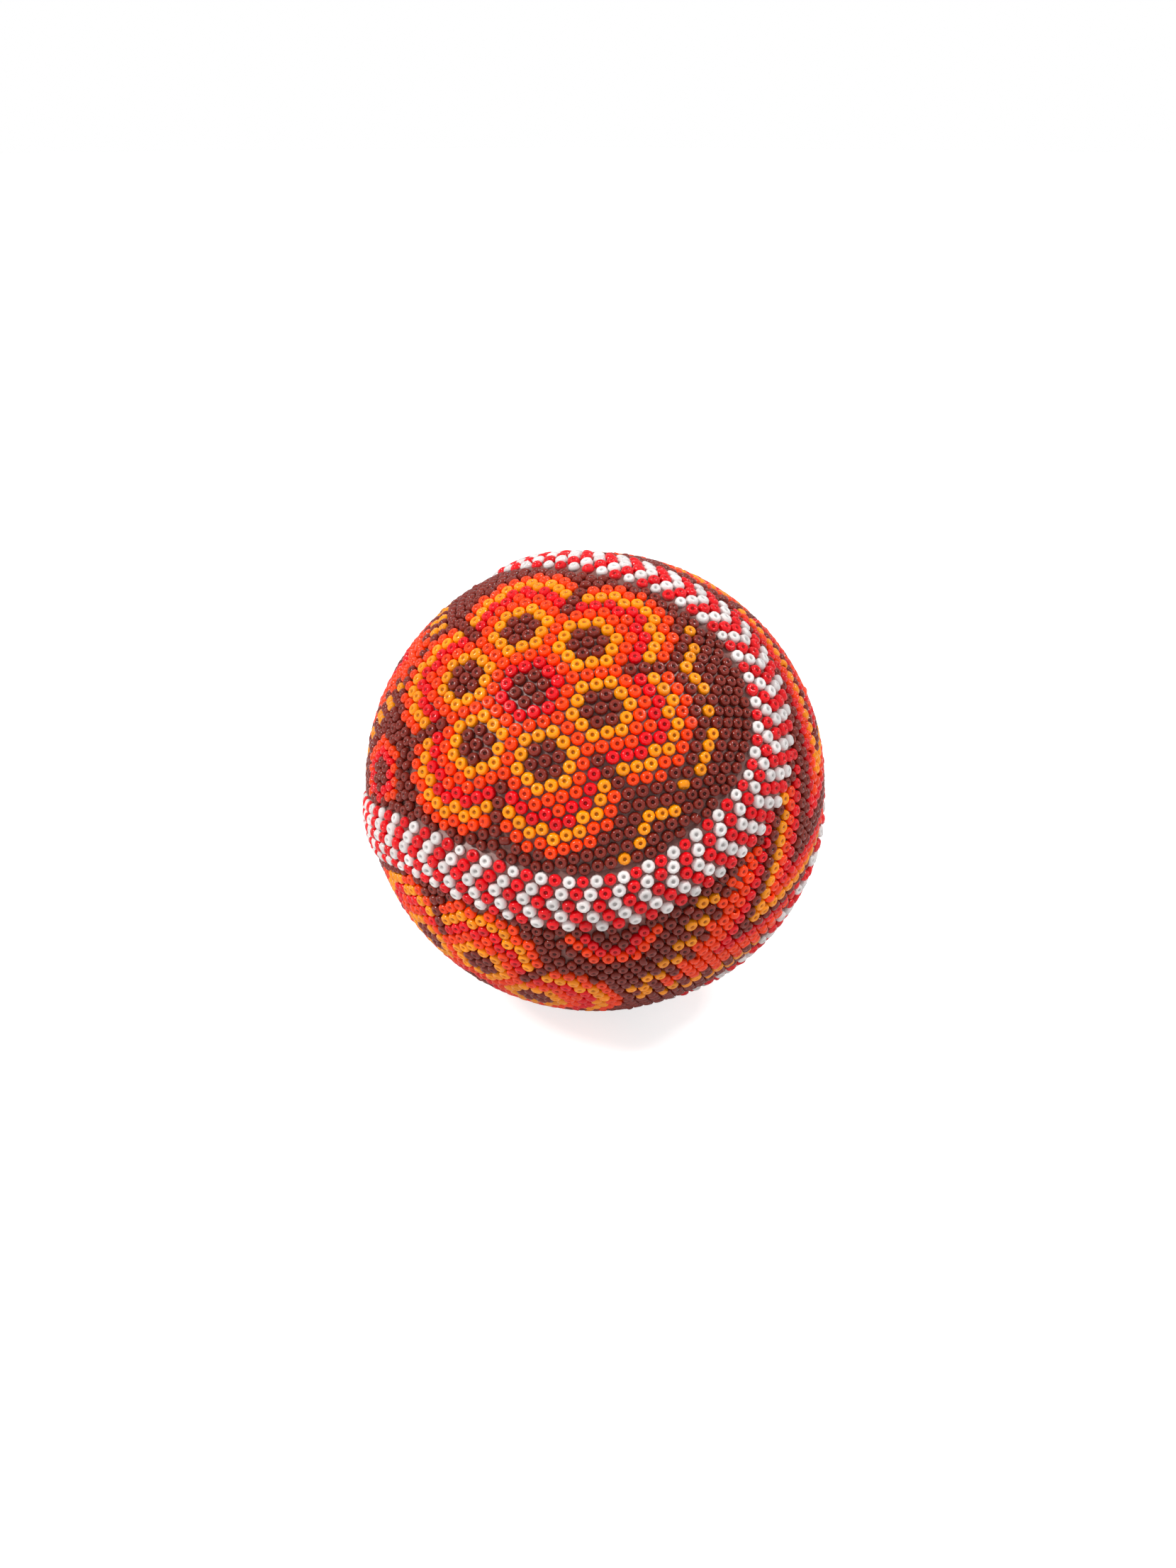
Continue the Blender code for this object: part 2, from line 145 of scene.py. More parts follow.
# --- The patterns round the flowers, in cells ---
FIELD_REACH = 18  # from a flower's middle
NECK_REACH = 20  # from a neck's middle
NECK_RADIUS = 44 * MM
NECK_SLIDE = 0.8 * MM  # how far the points are moved towards the neck's first lobe
# Colours of the nested points along a neck, from the innermost outwards.
NECK_COLOURS = ("brown", "red", "orange", "yellow", "brown", "red", "orange", "orange", "brown")
SPECKLED_LEVEL = 8  # every other bead of this row is orange
PAIRED_LEVELS = (9, 10)  # yellow beads in pairs, over these two rows
HEART_CELL = (-1, 16)  # middle of the heart at the end of neck b
SIDE_HEART = (15, 0)  # middle of the heart beside a flower of cover a
HEART_COLOURS = ("brown", "brown", "red", "orange")
# A dotted yellow line runs round the flowers of cover a, with a point in it at one side.
DOTTED_LINE = (
    (-10, -4), (-11, -2), (-11, -1), (-11, 0), (-12, 1), (-13, 2), (-14, 4), (-15, 6), (-15, 7),
    (-15, 8), (-15, 9), (-14, 10), (-14, 12), (-13, 12), (-12, 12), (-12, 13), (-12, 14),
    (-11, 15),
)

# --- Wax ---
PANEL_WAX_TOP = 38.32 * MM
BAND_WAX_TOP = 39.22 * MM
BAND_SHOULDER = 0.34  # share of half the band over which its wax rises
PANEL_CELLS = (96, 28)
BAND_CELLS = (420, 18)
WAX_RIPPLE_SCALE = 40.0
WAX_RIPPLE = 0.06 * MM
WAX_SHADES = (0.75, 1.3)  # shares of its colour that the wax is mottled with
SHARP_EDGE = radians(50)

# --- Studio ---
FLOOR_RADIUS = 3.0
FLOOR_MOTTLE = 0.97
WHITE = (1.0, 1.0, 1.0)
# Each window: its place, its size, its share of the power, and its colour.
WINDOWS = {
    "window_left": ((-0.45, -0.25, 0.55), (0.14, 0.14), 1.0, (1.0, 0.98, 0.95)),
    "window_right": ((0.40, -0.10, 0.60), (0.12, 0.12), 0.6, WHITE),
}
CAMERA_AWAY = 281.4 * MM
CAMERA_RISE = radians(24)
CAMERA_LENS = 49.73
CAMERA_SENSOR = 36.0
CAMERA_SHIFT = (-0.0061, -0.0021)

FLOAT, COLOUR = "NodeSocketFloat", "NodeSocketColor"

# A bead: its place as a unit vector from the ball's centre, its colour, the node that it is part
# of, the way that its hole points, how far it lies below its neighbours, and whether it stays
# where it was first laid.
Bead = namedtuple("Bead", "spot colour piece axis drop fixed")


# --- The seam, and directions measured from it ---


def plain_seam(place):
    """Unit vector to the seam's ideal line at a place from 0 to SEAM_PERIOD."""
    polar = pi / 2 - (pi / 2 - NECK_HALF_ANGLE) * cos(place)
    around = place / 2 + SEAM_SWEEP * sin(2 * place)
    return Vector((sin(polar) * cos(around), sin(polar) * sin(around), cos(polar)))


def beside(line, place, angle):
    """Unit vector to the point at an angle to the side of a line on the ball."""
    step = 1e-3
    here = line(place)
    along = line(place + step) - line(place - step)
    side = here.cross(along).normalized()
    return (here * cos(angle) + side * sin(angle)).normalized()


def seam(place):
    """Unit vector to the seam as it was closed by hand."""
    wander = SEAM_SHIFT + sum(
        across * cos(waves * place / 2) + along * sin(waves * place / 2)
        for waves, (across, along) in enumerate(SEAM_WANDER, start=1)
    )
    return beside(plain_seam, place, wander)


def beside_seam(place, distance):
    """Unit vector to a point at a distance to the side of the seam, over the panels."""
    return beside(seam, place, distance / PANEL_CROWN)


def between(first, second, share):
    """Unit vector on the great circle from one unit vector to another."""
    angle = first.angle(second, 0.0)
    if angle < TINY:
        return first.copy()
    return (first * sin((1 - share) * angle) + second * sin(share * angle)) / sin(angle)


def rung_ends(cover, run, inset):
    """The two ends of a line across a cover, each set in from the seam."""
    side, tip = COVERS[cover]
    return beside_seam(tip + run, side * inset), beside_seam(tip - run, side * inset)


class SeamRuler:
    """Measures along the seam, and from it."""

    STEPS = 2400

    def __init__(self):
        self.places = np.linspace(0.0, SEAM_PERIOD, self.STEPS + 1)
        points = np.array([seam(place) for place in self.places])
        steps = np.linalg.norm(np.diff(points, axis=0), axis=1) * PANEL_CROWN
        self.lengths = np.concatenate([[0.0], np.cumsum(steps)])
        self.total = float(self.lengths[-1])
        along = np.gradient(points, axis=0)
        self.points = points
        self.sides = np.cross(points, along / np.linalg.norm(along, axis=1)[:, None])

    def place(self, length):
        return float(np.interp(length % self.total, self.lengths, self.places))

    def length(self, place):
        return float(np.interp(place % SEAM_PERIOD, self.places, self.lengths))

    def offsets(self, spots):
        """Signed distance of each spot from the nearest piece of the seam."""
        spots = np.asarray(spots)
        nearest = np.argmax(spots @ self.points.T, axis=1)
        sine = np.einsum("ij,ij->i", spots, self.sides[nearest])
        return np.arcsin(np.clip(sine, -1, 1)) * PANEL_CROWN


class Lobe:
    """One lobe of a cover, with its flower's honeycomb of beads."""

    def __init__(self, name):
        self.name = name
        self.cover, self.tip, flower_place, self.first_petal = LOBES[name]
        inset = COVERS[self.cover][0] * (BAND_HALF + PIECE_GAP)
        self.inset = inset
        self.centre = self.rung_point(flower_place)
        neck = self.rung_point(pi)
        self.towards_neck = (neck - self.centre * neck.dot(self.centre)).normalized()
        self.across = self.centre.cross(self.towards_neck)

    def rung_point(self, run):
        left = beside_seam(self.tip + run, self.inset)
        right = beside_seam(self.tip - run, self.inset)
        return between(left, right, 0.5)

    def point(self, angle, distance):
        heading = self.towards_neck * cos(angle) + self.across * sin(angle)
        turned = distance / PANEL_CROWN
        return self.centre * cos(turned) + heading * sin(turned)

    def cell(self, m, n, pitch):
        """Unit vector to a cell of the honeycomb, whose rows lie between the petals."""
        x = (m + n / 2) * pitch
        y = n * sqrt(3) / 2 * pitch
        return self.point(atan2(y, x) + self.first_petal + PETAL_STEP / 2, hypot(x, y))


# --- The flower ---


def cells(reach):
    """Cells of a honeycomb, up to a reach along each of its two rows."""
    return product(range(-reach, reach + 1), repeat=2)


def cells_apart(m, n):
    """Steps from one bead of a honeycomb to another."""
    return (abs(m) + abs(n) + abs(m + n)) // 2


def eyes():
    """Cells of the six eyes, with the two rows that each lies between."""
    for index, first in enumerate(HEXAGON):
        second = HEXAGON[(index + 1) % PETALS]
        cell = tuple(EYE_STEPS * (a + b) for a, b in zip(first, second))
        yield index, cell, first, second


def petal_ring(m, n):
    """(ring about the nearest eye, that eye's number, whether two eyes are as near)."""
    found = []
    for index, (eye_m, eye_n), first, second in eyes():
        dm, dn = m - eye_m, n - eye_n
        ring = cells_apart(dm, dn)
        # Steps along the two rows on either side of the petal's axis.
        turn = first[0] * second[1] - first[1] * second[0]
        one = (dm * second[1] - dn * second[0]) / turn
        two = (first[0] * dn - first[1] * dm) / turn
        outward = one + two
        if ring >= TIP_RING and outward > 0 and abs(one - two) <= ring - TIP_RING:
            ring -= 1
        found.append((ring, index))
    (ring, nearest), (next_ring, _) = sorted(found)[:2]
    return ring, nearest, ring == next_ring


def flower_cell(m, n):
    """(colour, part of the flower) of a cell, or None outside the flower."""
    out = cells_apart(m, n)
    if out < len(HEART_RINGS):
        return HEART_RINGS[out], "heart"
    ring, eye, tied = petal_ring(m, n)
    if out == len(HEART_RINGS):
        return "orange", f"petal_{eye + 1}"
    if ring >= len(PETAL_RINGS) or (tied and ring >= TIP_RING):
        return None
    return PETAL_RINGS[ring], f"petal_{eye + 1}"


# --- Laying the beads ---


class Layout:
    """Beads in the order that they are laid, each kept clear of those before it."""

    def __init__(self, settings):
        self.settings = settings
        self.ruler = SeamRuler()
        self.spots = np.empty((0, 3))
        self.beads = []
        self.random = Random(settings.seed)
        self.lobes = {name: Lobe(name) for name in LOBES}
        self.mouths = {cover: self.neck_mouths(cover) for cover in COVERS}

    def neck_mouths(self, cover):
        """The two planes that cut a cover's neck from its lobes."""
        middle = between(*rung_ends(cover, SEAM_PERIOD / 4, BAND_HALF), 0.5)
        planes = []
        for run in (NECK_START, SEAM_PERIOD / 2 - NECK_START):
            left, right = rung_ends(cover, run, BAND_HALF)
            normal = left.cross(right).normalized()
            planes.append(normal * (1.0 if normal.dot(middle) > 0 else -1.0))
        return planes

    def in_neck(self, cover, spot):
        return all(plane.dot(spot) > 0.0 for plane in self.mouths[cover])

    def clearance(self, spots):
        """Distance from each spot to the nearest bead that is already laid."""
        if not len(self.spots):
            return np.full(len(spots), np.inf)
        cosines = np.clip(np.asarray(spots) @ self.spots.T, -1, 1).max(axis=1)
        return np.arccos(cosines) * PANEL_CROWN

    def lay(self, beads, clear):
        """Lays those beads that are at least clear away from every bead laid before."""
        if not beads:
            return
        spots = np.array([bead.spot for bead in beads])
        room = self.clearance(spots) >= clear
        self.beads += [bead for bead, free in zip(beads, room) if free]
        self.spots = np.vstack([self.spots, spots[room]])

    def field_piece(self, spot, offset):
        """The background piece that a spot belongs to."""
        cover = "a" if offset < 0 else "b"
        if self.in_neck(cover, Vector(spot)):
            return f"neck_{cover}_field"
        lobes = [lobe for lobe in self.lobes.values() if lobe.cover == cover]
        return f"lobe_{max(lobes, key=lambda lobe: lobe.centre.dot(Vector(spot))).name}_field"

    def lay_band(self):
        """Rows along the seam; each row lags the one nearer the middle by half a bead."""
        rows, count = self.settings.band_rows, self.settings.band_beads
        pitch = self.ruler.total / count
        start = self.ruler.length(LOBES["a1"][1]) + self.settings.chevron_start
        beads = []
        for row in range(rows):
            across = row - (rows - 1) / 2
            offset = across * self.settings.band_row_spacing
            out = min(round(abs(across)), len(BAND_LEAN) - 1)
            for index in range(count):
                place = self.ruler.place(start + (index - abs(across) / 2) * pitch)
                spot = beside_seam(place, offset)
                colour = "red" if index % 2 else "white"
                lean = copysign(BAND_LEAN[out], across)
                axis = beside(seam, place, offset / PANEL_CROWN + lean)
                beads.append(Bead(spot, colour, "band_beads", axis, BAND_DROP[out], True))
        self.lay(beads, 0.0)

    def lay_flowers(self):
        """Lays the four flowers, cut off where they meet the band."""
        pitch = self.settings.bead_pitch
        reach = EYE_STEPS * 2 + len(PETAL_RINGS)
        for name, lobe in self.lobes.items():
            beads = []
            for m, n in cells(reach):
                made = flower_cell(m, n)
                if made:
                    piece = f"flower_{name}_{made[1]}"
                    beads.append(flat_bead(lobe.cell(m, n, pitch), made[0], piece, True))
            beads = self.on_cover(beads, lobe.cover)
            self.lay(beads, self.settings.closest)

    def on_cover(self, beads, cover):
        """Keeps the beads that lie on a cover, clear of the band."""
        side = COVERS[cover][0]
        offsets = self.ruler.offsets([bead.spot for bead in beads]) * side
        least = BAND_HALF + self.settings.band_room
        return [bead for bead, offset in zip(beads, offsets) if offset > least]

    def lay_background(self, beads, cover):
        """Lays beads on a cover, each as a part of the background piece that it falls on."""
        beads = self.on_cover(beads, cover)
        if not beads:
            return
        offsets = self.ruler.offsets([bead.spot for bead in beads])
        pieces = [self.field_piece(bead.spot, offset) for bead, offset in zip(beads, offsets)]
        beads = [bead._replace(piece=piece) for bead, piece in zip(beads, pieces)]
        self.lay(beads, self.settings.closest)

    def lay_neck(self, cover):
        """Nested points of colour along a cover's neck, on a honeycomb of their own."""
        pitch = self.settings.bead_pitch
        middle = between(*rung_ends(cover, SEAM_PERIOD / 4, BAND_HALF), 0.5)
        ahead = self.lobes[f"{cover}1"].centre
        ahead = (ahead - middle * ahead.dot(middle)).normalized()
        across = middle.cross(ahead)
        beads = []
        for m, n in cells(NECK_REACH):
            x = (m + n) * pitch * sqrt(3) / 2 + NECK_SLIDE
            y = (m - n) * pitch / 2
            away = hypot(x, y) / PANEL_CROWN
            if hypot(x, y) < NECK_RADIUS:
                heading = ahead * (x / hypot(x, y)) + across * (y / hypot(x, y))
                spot = middle * cos(away) + heading * sin(away)
                beads.append(flat_bead(spot, neck_colour(cover, m, n), "", False))
        self.lay_background(beads, cover)

    def lay_fields(self, covers, wanted):
        """Carries the flowers' honeycombs on over the background, where wanted(m, n)."""
        pitch = self.settings.bead_pitch
        for lobe in self.lobes.values():
            if lobe.cover not in covers:
                continue
            beads = []
            for m, n in cells(FIELD_REACH):
                near = cells_apart(m, n) <= FIELD_REACH
                if near and wanted(m, n) and not flower_cell(m, n):
                    spot = lobe.cell(m, n, pitch)
                    colour = field_colour(lobe.cover, m, n)
                    beads.append(flat_bead(spot, colour, "", False))
            self.lay_background(beads, lobe.cover)

    def fill(self, clear):
        """Fills what is left with small brown beads, the snuggest places first."""
        spots = even_spots(FILL_TRIES)
        offsets = self.ruler.offsets(spots)
        away = np.abs(offsets) > BAND_HALF + FILL_ROOM * self.settings.band_room
        spots, offsets = spots[away], offsets[away]
        room = self.clearance(spots)
        while True:
            free = np.where(room >= clear, room, np.inf)
            best = int(np.argmin(free))
            if not np.isfinite(free[best]):
                break
            spot = spots[best]
            piece = self.field_piece(spot, offsets[best])
            self.beads.append(flat_bead(Vector(spot), "brown", piece, False))
            self.spots = np.vstack([self.spots, spot])
            gap = np.arccos(np.clip(spots @ spot, -1, 1)) * PANEL_CROWN
            room = np.minimum(room, gap)

    def settle(self, wanted):
        """Nudges loose beads that crowd each other into the gaps beside them."""
        loose = np.array([not bead.fixed for bead in self.beads])
        near = self.spots @ self.spots.T > cos(SETTLE_REACH * wanted / PANEL_CROWN)
        first, second = np.nonzero(np.triu(near, 1))
        share = np.stack([loose[first], loose[second]], axis=1).astype(float)
        keep = share.sum(axis=1) > 0
        first, second, share = first[keep], second[keep], share[keep]
        share /= share.sum(axis=1, keepdims=True)
        for _ in range(SETTLE_STEPS):
            apart = self.spots[second] - self.spots[first]
            gap = np.linalg.norm(apart, axis=1) * PANEL_CROWN
            push = np.maximum(0.0, wanted - gap) / gap * SETTLE_PUSH
            move = np.zeros_like(self.spots)
            np.add.at(move, first, -apart * (push * share[:, 0])[:, None])
            np.add.at(move, second, apart * (push * share[:, 1])[:, None])
            self.spots = self.spots + move
            self.spots /= np.linalg.norm(self.spots, axis=1, keepdims=True)
        self.beads = [
            bead if bead.fixed else bead._replace(spot=Vector(spot), axis=Vector(spot))
            for bead, spot in zip(self.beads, self.spots)
        ]


def flat_bead(spot, colour, piece, fixed):
    """A bead pressed square to the ball, level with the others of the panels."""
    return Bead(spot, colour, piece, spot, 0.0, fixed)


def neck_colour(cover, m, n):
    """Colour of a cell of a neck's honeycomb; m and n run along the arms of the points."""
    motif = cells_apart(m - HEART_CELL[0], n - HEART_CELL[1])
    if cover == "b" and motif < len(HEART_COLOURS):
        return HEART_COLOURS[motif]
    level, odd = max(m, n), min(m, n) % 2
    if level in PAIRED_LEVELS:
        return "brown" if odd else "yellow"
    if level > max(PAIRED_LEVELS):
        return "brown"
    if level == SPECKLED_LEVEL and odd:
        return "orange"
    return NECK_COLOURS[level if level >= 0 else (-1 - level) % len(NECK_COLOURS)]


def in_side_heart(m, n):
    """Whether a cell belongs to the heart beside a flower of cover a."""
    return cells_apart(m - SIDE_HEART[0], n - SIDE_HEART[1]) < len(HEART_COLOURS)


def field_colour(cover, m, n):
    """Colour of a cell round a flower: brown, with a heart and a dotted line on cover a."""
    if cover == "a" and in_side_heart(m, n):
        return HEART_COLOURS[cells_apart(m - SIDE_HEART[0], n - SIDE_HEART[1])]
    if cover == "a" and (m, n) in DOTTED_LINE:
        return "yellow"
    return "brown"


def even_spots(count):
    """Unit vectors spread evenly over the ball."""
    index = np.arange(count) + 0.5
    polar = np.arccos(1 - 2 * index / count)
    around = pi * (1 + sqrt(5)) * index
    return np.stack(
        [np.sin(polar) * np.cos(around), np.sin(polar) * np.sin(around), np.cos(polar)], axis=1
    )


def nudged(spot, rand):
    """A place a hair away, as a hand sets it."""
    slip = Vector((rand.gauss(0, 1), rand.gauss(0, 1), rand.gauss(0, 1))) * HAND_SLIP
    return (spot + slip / PANEL_CROWN).normalized()


def fitted_widths(beads, rand):
    """Widths of the beads: those that crowd each other were picked smaller."""
    spots = np.array([bead.spot for bead in beads])
    usual = np.array([BEAD_WIDTHS[bead.colour] for bead in beads])
    picked = np.array([width * rand.gauss(1.0, WIDTH_SPREAD) for width in usual])
    crowded = [
        (i, j, float(np.arccos(min(1.0, spots[i] @ spots[j])) * PANEL_CROWN))
        for i in range(len(beads))
        for j in np.nonzero(spots[:i] @ spots[i] > cos(CROWDING_REACH / PANEL_CROWN))[0]
    ]
    widths = picked.copy()
    for _ in range(CROWDING_STEPS):
        for i, j, apart in crowded:
            excess = (widths[i] + widths[j]) / 2 / apart
            if excess > 1.0:
                widths[i] /= excess
                widths[j] /= excess
    widths = np.maximum(widths, SMALLEST_BEAD * usual)
    # A bead that was left with room to spare was picked larger.
    neighbours = [[] for _ in beads]
    for i, j, apart in crowded:
        neighbours[i].append((j, apart))
        neighbours[j].append((i, apart))
    for i, near in enumerate(neighbours):
        room = min([picked[i]] + [2 * apart - widths[j] for j, apart in near])
        widths[i] = max(widths[i], room)
    return widths


@lru_cache(maxsize=1)
def bead_plan():
    """Every bead of the ball, with its width."""
    settings = bpy.context.scene.beaded_ball
    layout = Layout(settings)
    layout.lay_band()
    layout.lay_flowers()
    layout.lay_fields("a", in_side_heart)
    for cover in COVERS:
        layout.lay_neck(cover)
    layout.lay_fields("ab", lambda m, n: True)
    for _ in range(FILL_ROUNDS):
        layout.fill(settings.closest)
        layout.fill(settings.closest * SMALLEST_BEAD)
        layout.settle(settings.closest)
    beads = [bead._replace(spot=nudged(bead.spot, layout.random)) for bead in layout.beads]
    return beads, fitted_widths(beads, layout.random)


# --- Making the bead meshes ---


def template_bead():
    """One bead, as wide as 2, with its hole along Z."""
    bm = bmesh.new()
    profile = HOLE_PROFILE + BODY_PROFILE
    points = [bm.verts.new((radius, 0.0, height)) for radius, height in profile]
    edges = [bm.edges.new(pair) for pair in zip(points, points[1:])]
    bmesh.ops.spin(
        bm,
        geom=points + edges,
        cent=(0.0, 0.0, 0.0),
        axis=(0.0, 0.0, 1.0),
        angle=tau,
        steps=BEAD_SEGMENTS,
        use_merge=True,
    )
    bmesh.ops.remove_doubles(bm, verts=bm.verts, dist=HAIR)
    bmesh.ops.recalc_face_normals(bm, faces=bm.faces)
    mesh = bpy.data.meshes.new("one_bead")
    bm.to_mesh(mesh)
    bm.free()
    return mesh


def bead_matrix(bead, width, rand, tilt_spread):
    """Where a bead sits in the wax, with its crown at the level that a palm presses to."""
    half = width / 2
    tilt = abs(rand.gauss(0.0, tilt_spread))
    if not bead.fixed and rand.random() < SIDEWAYS_SHARE:
        tilt = SIDEWAYS_TILT
    turn = rand.uniform(0, tau)
    lean = Matrix.Rotation(tilt, 3, Vector((cos(turn), sin(turn), 0.0)))
    spin = Matrix.Rotation(rand.uniform(0, tau), 3, "Z")
    standing = bead.axis.to_track_quat("Z", "Y").to_matrix()
    tilt += bead.axis.angle(bead.spot, 0.0)
    reach = half * hypot(BEAD_HALF_HEIGHT * cos(tilt), SIDE_REACH * sin(tilt))
    level = BAND_CROWN if bead.piece == "band_beads" else PANEL_CROWN
    crown = level - bead.drop - CROWN_INSET
    turned = (standing @ lean @ spin).to_4x4() @ Matrix.Diagonal((half, half, half, 1.0))
    return BALL @ Matrix.Translation(bead.spot * (crown - reach)) @ turned


def make_beads(piece, beads, widths):
    """One piece of many beads: a mesh that takes a copy of the template for each bead."""
    rand = Random(piece)
    mesh = template_bead()
    rest = np.empty(len(mesh.vertices) * 3, np.float32)
    mesh.vertices.foreach_get("co", rest)
    corners = rest.reshape(-1, 3)
    settings = bpy.context.scene.beaded_ball
    # The hole's floor and lower wall, which the glass darkens with painted shade
    hole = np.hypot(corners[:, 0], corners[:, 1]) < HOLE_PROFILE[-1][0] + HAIR
    hole &= corners[:, 2] > HOLE_PROFILE[0][1] - HAIR
    centre = np.array(BALL_CENTRE)
    wax_top = BAND_WAX_TOP if piece.startswith("band") else PANEL_WAX_TOP
    heights = []
    bm = bmesh.new()
    for bead, width in zip(beads, widths):
        placed = bead_matrix(bead, width, rand, settings.bead_tilt)
        moved = corners @ np.array(placed.to_3x3()).T + np.array(placed.translation)
        moved[:, 2] += max(0.0, -moved[:, 2].min())  # none goes below the table
        heights.append((np.linalg.norm(moved - centre, axis=1) - wax_top) / MM)
        mesh.vertices.foreach_set("co", moved.astype(np.float32).ravel())
        bm.from_mesh(mesh)
    made = bpy.data.meshes.new(piece)
    bm.to_mesh(made)
    bm.free()
    faces, points = len(mesh.polygons), len(mesh.vertices)
    bpy.data.meshes.remove(mesh)
    used = sorted({bead.colour for bead in beads}, key=COLOURS.index)
    for colour in used:
        made.materials.append(bead_glass(colour))
    index = np.repeat([used.index(bead.colour) for bead in beads], faces)
    made.polygons.foreach_set("material_index", index.astype(np.int32))
    values = {
        "tone": np.repeat([rand.gauss(0, 1) for _ in beads], points),
        "hole": np.tile(hole.astype(np.float32), len(beads)),
        "above_wax": np.concatenate(heights),
    }
    for name, value in values.items():
        stored = made.attributes.new(name, "FLOAT", "POINT")
        stored.data.foreach_set("value", value.astype(np.float32))
    made.shade_smooth()
    return made


def add_piece(name, mesh, *nodes, slot):
    """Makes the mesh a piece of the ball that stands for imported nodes."""
    made = bpy.data.objects.new(name, mesh)
    bpy.context.scene.collection.objects.link(made)
    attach(made, "root")
    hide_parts(*nodes)


def add_bead_pieces(nodes, slot):
    """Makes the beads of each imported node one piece."""
    beads, widths = bead_plan()
    for name in nodes:
        chosen = [index for index, bead in enumerate(beads) if bead.piece == name]
        if not chosen:
            raise RuntimeError(f"no bead was laid for {name}")
        mesh = make_beads(f"{name}_glass", [beads[i] for i in chosen], widths[chosen])
        add_piece(f"{name}_glass", mesh, name, slot=slot)


# --- Finishes ---


def new_material(name):
    made = bpy.data.materials.new(name)
    made.use_nodes = True
    return made, made.node_tree, made.node_tree.nodes["Principled BSDF"]


def node(tree, kind, **values):
    """Adds a node; a value's name is an input's name, or a property of the node."""
    made = tree.nodes.new(kind)
    for name, value in values.items():
        if hasattr(made, name):
            setattr(made, name, value)
        else:
            made.inputs[name.replace("_", " ")].default_value = value
    return made


def opaque(value):
    """A colour with its alpha, or a number as it is."""
    return value if isinstance(value, float) else (*value, 1.0)


def blended(tree, factor, first, second):
    """Mixes two colours, each of them a node's output or a fixed colour."""
    mix = node(tree, "ShaderNodeMix", data_type="RGBA")
    tree.links.new(factor, mix.inputs["Factor"])
    for label, colour in (("A", first), ("B", second)):
        if isinstance(colour, bpy.types.NodeSocket):
            tree.links.new(colour, mix.inputs[label])
        else:
            mix.inputs[label].default_value = opaque(colour)
    return mix.outputs["Result"]


def new_group(name, inputs, outputs):
    """A shader node group with its named sockets, and its two end nodes."""
    tree = bpy.data.node_groups.new(name, "ShaderNodeTree")
    for label, kind, value in inputs:
        socket = tree.interface.new_socket(name=label, in_out="INPUT", socket_type=kind)
        socket.default_value = value
    for label, kind in outputs:
        tree.interface.new_socket(name=label, in_out="OUTPUT", socket_type=kind)
    return tree, tree.nodes.new("NodeGroupInput"), tree.nodes.new("NodeGroupOutput")


@lru_cache(maxsize=None)
def grain_group():
    """Mottled colour and a matching height, from soft noise."""
    tree, given, result = new_group(
        "grain",
        [
            ("Colour", COLOUR, (0.5, 0.5, 0.5, 1.0)),
            ("Second Colour", COLOUR, (0.4, 0.4, 0.4, 1.0)),
            ("Scale", FLOAT, 500.0),
            ("Detail", FLOAT, 4.0),
        ],
        [("Colour", COLOUR), ("Height", FLOAT)],
    )
    place = node(tree, "ShaderNodeTexCoord")
    mottle = node(tree, "ShaderNodeTexNoise", Roughness=0.6)
    link = tree.links.new
    link(place.outputs["Object"], mottle.inputs["Vector"])
    link(given.outputs["Scale"], mottle.inputs["Scale"])
    link(given.outputs["Detail"], mottle.inputs["Detail"])
    mix = blended(
        tree, mottle.outputs["Fac"], given.outputs["Colour"], given.outputs["Second Colour"]
    )
    link(mix, result.inputs["Colour"])
    link(mottle.outputs["Fac"], result.inputs["Height"])
    return tree


@lru_cache(maxsize=None)
def strand_group():
    """Wound strands: rounded lines that cross at two slopes, darker in the grooves between them
    as painted shade.
    """
    tree, given, result = new_group(
        "strands",
        [
            ("Colour", COLOUR, (0.6, 0.6, 0.6, 1.0)),
            ("Groove Colour", COLOUR, (0.2, 0.2, 0.2, 1.0)),
            ("Scale", FLOAT, 300.0),
            ("Wander", FLOAT, 3.0),
        ],
        [("Colour", COLOUR), ("Height", FLOAT)],
    )
    place = node(tree, "ShaderNodeTexCoord")
    link = tree.links.new
    heights = []
    for turn in (-0.6, 0.8):
        mapping = node(tree, "ShaderNodeMapping", Rotation=(turn, 0.3 * turn, turn))
        wave = node(tree, "ShaderNodeTexWave", Detail=2.0)
        link(place.outputs["Object"], mapping.inputs["Vector"])
        link(mapping.outputs["Vector"], wave.inputs["Vector"])
        link(given.outputs["Scale"], wave.inputs["Scale"])
        link(given.outputs["Wander"], wave.inputs["Distortion"])
        heights.append(wave.outputs["Fac"])
    over = node(tree, "ShaderNodeMath", operation="MAXIMUM")
    link(heights[0], over.inputs[0])
    link(heights[1], over.inputs[1])
    # Painted shade: the grooves between the strands take the darker colour
    mix = blended(
        tree, over.outputs["Value"], given.outputs["Groove Colour"], given.outputs["Colour"]
    )
    link(mix, result.inputs["Colour"])
    link(over.outputs["Value"], result.inputs["Height"])
    return tree


